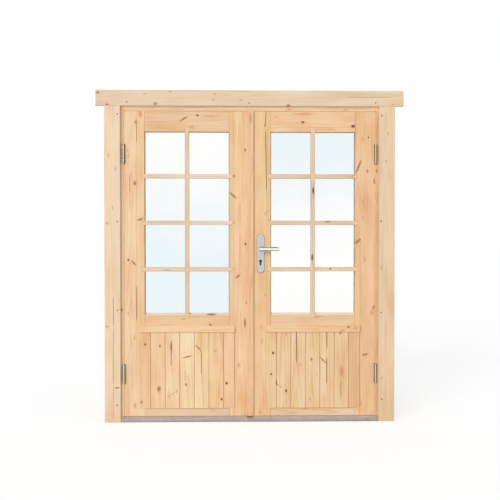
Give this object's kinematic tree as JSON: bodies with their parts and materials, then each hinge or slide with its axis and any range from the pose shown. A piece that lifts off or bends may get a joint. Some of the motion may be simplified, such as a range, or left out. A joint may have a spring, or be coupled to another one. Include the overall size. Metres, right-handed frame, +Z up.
{
  "type": "french doors",
  "caption": "French doors in a timber frame: barred glass over boarded panels, hinged leaves with a cover strip, lever handle, mortise lock, slide bolts and metal threshold.",
  "frame": {"origin": "on the floor under the threshold, midway between the jambs, in the plane of the leaves' outer faces", "axes": "+X to the right seen from outside, +Y into the building, +Z up"},
  "size_m": [1.812, 0.156, 1.955],
  "materials": {
    "leaf_pine": "planed, unpainted",
    "bar_pine": "planed, unpainted",
    "frame_pine": "planed, unpainted",
    "casing_spruce": "planed, unpainted",
    "glass": "clear",
    "seal": "pale grey glazing tape",
    "zinc": "zinc plated",
    "steel": "plain",
    "satin_handle": "satin",
    "threshold_metal": "mill",
    "cylinder_brass": "nickel plated"
  },
  "bodies": {
    "frame": {"left_jamb": "frame_pine", "right_jamb": "frame_pine", "head_jamb": "frame_pine", "threshold": "threshold_metal", "left_casing": "casing_spruce", "right_casing": "casing_spruce", "head_casing": "casing_spruce", "left_upper_hinge_frame_half": "zinc", "left_lower_hinge_frame_half": "zinc", "right_upper_hinge_frame_half": "zinc", "right_lower_hinge_frame_half": "zinc"},
    "left_leaf": {"left_hinge_stile": "leaf_pine", "left_meeting_stile": "leaf_pine", "left_top_rail": "leaf_pine", "left_mid_rail": "leaf_pine", "left_bottom_rail": "leaf_pine", "left_vertical_bar": "bar_pine", "left_upper_cross_bar": "bar_pine", "left_middle_cross_bar": "bar_pine", "left_lower_cross_bar": "bar_pine", "left_glazing_beads": "leaf_pine", "left_panel_boards": "leaf_pine", "left_panel_cap": "leaf_pine", "left_glass": "glass", "left_glazing_seal": "seal", "left_upper_hinge_leaf_half": "zinc", "left_lower_hinge_leaf_half": "zinc", "strike_plate": "steel", "upper_bolt_guide": "zinc", "lower_bolt_guide": "zinc"},
    "right_leaf": {"right_hinge_stile": "leaf_pine", "right_meeting_stile": "leaf_pine", "right_top_rail": "leaf_pine", "right_mid_rail": "leaf_pine", "right_bottom_rail": "leaf_pine", "right_vertical_bar": "bar_pine", "right_upper_cross_bar": "bar_pine", "right_middle_cross_bar": "bar_pine", "right_lower_cross_bar": "bar_pine", "right_glazing_beads": "leaf_pine", "right_panel_boards": "leaf_pine", "right_panel_cap": "leaf_pine", "right_glass": "glass", "right_glazing_seal": "seal", "right_upper_hinge_leaf_half": "zinc", "right_lower_hinge_leaf_half": "zinc", "cover_strip": "leaf_pine", "lock_case": "steel", "outer_handle_plate": "satin_handle", "inner_handle_plate": "satin_handle", "lock_cylinder": "cylinder_brass"},
    "lever": {"outer_lever": "satin_handle", "inner_lever": "satin_handle", "spindle": "steel"},
    "latch": {"latch_bolt": "steel"},
    "dead_bolt": {"dead_bolt": "steel"},
    "key_plug": {"cylinder_plug": "cylinder_brass"},
    "upper_bolt": {"upper_bolt_rod": "zinc"},
    "lower_bolt": {"lower_bolt_rod": "zinc"}
  },
  "joints": [
    {"name": "left_leaf_hinge", "type": "hinge", "parent": "frame", "child": "left_leaf", "pos_m": [-0.744, -0.0085, 0.934], "axis": [0, 0, -1], "range_deg": [0, 160]},
    {"name": "right_leaf_hinge", "type": "hinge", "parent": "frame", "child": "right_leaf", "pos_m": [0.744, -0.0085, 0.934], "axis": [0, 0, 1], "range_deg": [0, 160]},
    {"name": "lever_turn", "type": "hinge", "parent": "right_leaf", "child": "lever", "pos_m": [0.062, 0.02, 1.022], "axis": [0, 1, 0], "range_deg": [0, 40], "stiffness_Nm_per_rad": 1.5, "springref_deg": -34.38},
    {"name": "latch_slide", "type": "slide", "parent": "right_leaf", "child": "latch", "axis": [1, 0, 0], "range_m": [0, 0.012]},
    {"name": "key_turn", "type": "hinge", "parent": "right_leaf", "child": "key_plug", "pos_m": [0.062, 0.02, 0.95], "axis": [0, 1, 0], "range_deg": [0, 360]},
    {"name": "dead_bolt_slide", "type": "slide", "parent": "right_leaf", "child": "dead_bolt", "axis": [-1, 0, 0], "range_m": [0, 0.02]},
    {"name": "upper_bolt_slide", "type": "slide", "parent": "left_leaf", "child": "upper_bolt", "axis": [0, 0, 1], "range_m": [0, 0.025]},
    {"name": "lower_bolt_slide", "type": "slide", "parent": "left_leaf", "child": "lower_bolt", "axis": [0, 0, -1], "range_m": [0, 0.025]}
  ],
  "couplings": [
    {"joint": "latch_slide", "follows": "lever_turn", "m_per_rad": 0.01718},
    {"joint": "key_turn", "follows": "dead_bolt_slide", "rad_per_m": 314.15}
  ]
}
